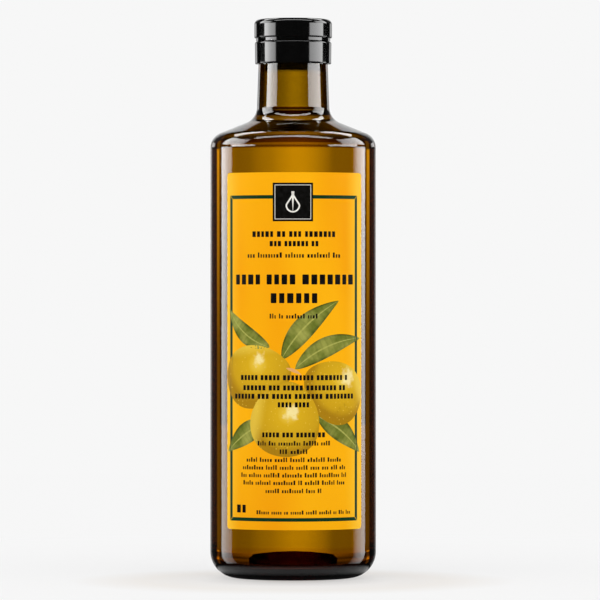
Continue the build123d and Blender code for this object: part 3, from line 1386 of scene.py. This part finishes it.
def blended(tree, height, low, high, first, second):
    """Mixes two colours by height, first below low and second above high."""
    step = add(tree, "MapRange", {"Value": height, "From Min": low, "From Max": high})
    return add(tree, "Mix", {"Factor": step, "A": first, "B": second}, data_type="RGBA")


def glow(name):
    """A material for a large soft light, which isn't sampled as a lamp."""
    material, tree, place = new_material(name)
    material.cycles.emission_sampling = "NONE"
    return material, tree, place


def gloss_light():
    """A soft box on each side, wider at the neck's height, and a faint glow straight behind."""
    material, tree, place = glow("soft_boxes")
    turn, height = round_about(tree, place)
    behind = ((8, 0.9), (22, 0.4), (28, 1.6), (38, 1.6), (42, 0))
    boxes = (
        ((62, 0), (63, 7.6), (70, 7.9), (80, 7), (100, 6), (108, 4), (110, 0)),
        ((63, 0), (64, 9), (71, 8.6), (80, 8), (100, 7), (108, 4), (110, 0)),
    )
    body = (
        (
            *((8, 0.93), (20, 0.5), (29, 0.05), (62, 0), (63, 7.6)),
            *((70, 7.9), (80, 5.6), (88, 1.3), (90, 0)),
        ),
        (
            *((8, 0.93), (20, 0.9), (29, 0.1), (63, 0), (64, 9.0)),
            *((71, 8.3), (80, 5.4), (86.5, 4.3), (87.5, 0)),
        ),
    )
    neck = (
        (
            *(*behind, (80, 0), (81, 9.5), (98, 9.3)),
            *((110, 8.5), (122, 7.5), (130, 6.5), (131, 0)),
        ),
        (*behind, (86, 0), (87, 13.8), (98, 13), (110, 9), (120, 7.5), (126, 6), (127, 0)),
    )
    upper = [((8, 0.93), (20, 0.7), (29, 0.1), *box) for box in boxes]
    # The flare of the neck and the curve of the shoulder throw their reflections further up.
    light = profile(tree, turn, *body)
    for low, high, sides in ((0.266, 0.274, neck), (0.385, 0.395, upper), (0.74, 0.8, boxes)):
        light = blended(tree, height, low, high, light, profile(tree, turn, *sides))
    # The boxes get dimmer towards the floor, and end a metre up.
    stops = (
        *((-0.9, 0.0), (-0.25, 0.3), (-0.03, 0.46), (0.12, 0.7)),
        *((0.24, 1.0), (0.95, 1.0), (1.05, 0.0)),
    )
    rise = graded(tree, height, -0.9, 1.3, stops)
    light = add(tree, "VectorMath", {0: light, 1: rise}, operation="MULTIPLY")
    lamp = add(tree, "Emission", {"Color": light, "Strength": STRONGEST})
    add(tree, "OutputMaterial", {"Surface": lamp})
    return material


def back_cloth(tree, direction):
    """The backdrop as it shows through glass: brightest straight behind, darker cloth aside."""
    turn, height = round_about(tree, direction)
    right = (
        *((0, 0.93), (5, 0.77), (10, 0.59), (14, 0.54)),
        *((21, 0.37), (29, 0.34), (34, 0.44), (47, 0.16)),
    )
    left = (
        *((5, 0.91), (8.8, 0.78), (12.7, 0.63), (17, 0.43)),
        *((19, 0.34), (31, 0.34), (34, 0.5), (48, 0.22)),
    )
    # Beside and in front of the bottle the room is plain and pale again.
    around = ((76, 0), (90, 0.5))
    low = (
        (*right, (51.3, 0.3), (54.2, 0.3), (55.2, 0), *around),
        (*left, (54.5, 0.22), (55.5, 0), *around),
    )
    # A slit of light on each side edges the upper half of the bottle in amber.
    high = (
        (*right, (50, 0.3), (51.3, 1.7), (54.2, 1.7), (55.2, 0), *around),
        (*left, (49.5, 0.3), (51, 1.5), (54.5, 1.5), (55.5, 0), *around),
    )
    lower, upper = (profile(tree, turn, *sides) for sides in (low, high))
    cloth = blended(tree, height, -0.012, 0.035, lower, upper)
    stops = (
        *((-0.78, 0.45), (-0.7, 0), (-0.62, 0), (-0.55, 0.45), (-0.38, 0.45), (-0.32, 0.12)),
        *((-0.235, 0.12), (-0.22, 0.8), (-0.14, 0.8), (-0.1, 0.9), (-0.06, 0.76), (-0.03, 0.85)),
        *((0.0, 0.93), (0.03, 1.0), (0.045, 1.0), (0.06, 0.14), (0.19, 0.12), (0.205, 0)),
    )
    rise = graded(tree, height, LOWEST, HIGHEST, stops)
    bright = add(tree, "VectorMath", {0: cloth, 1: (STRONGEST,) * 3}, operation="MULTIPLY")
    return add(tree, "VectorMath", {0: bright, 1: rise}, operation="MULTIPLY")


# ---------------------------------------------------------------- add-on

MAKERS = (
    GlassOperator,
    OilOperator,
    ClosureOperator,
    PaperOperator,
    BorderOperator,
    SquareOperator,
    LeavesOperator,
    OlivesOperator,
    WordsOperator,
    StageOperator,
)


class OilBottlePanel(Panel):
    """Lists the steps that build the bottle"""

    bl_idname = "VIEW3D_PT_oil_bottle"
    bl_label = "Oil Bottle"
    bl_space_type = "VIEW_3D"
    bl_region_type = "UI"
    bl_category = "Oil Bottle"

    def draw(self, context):
        for maker in MAKERS:
            self.layout.operator(maker.bl_idname)


CLASSES = (
    GlassSettings,
    OilSettings,
    ClosureSettings,
    LabelSettings,
    ArtworkSettings,
    StudioSettings,
    OilBottleSettings,
    *MAKERS,
    OilBottlePanel,
)


def register():
    for kind in CLASSES:
        bpy.utils.register_class(kind)
    bpy.types.Scene.oil_bottle = PointerProperty(type=OilBottleSettings)


def unregister():
    del bpy.types.Scene.oil_bottle
    for kind in reversed(CLASSES):
        bpy.utils.unregister_class(kind)


def main():
    register()
    for maker in MAKERS:
        group, name = maker.bl_idname.split(".")
        getattr(getattr(bpy.ops, group), name)()


if __name__ == "__main__":
    main()
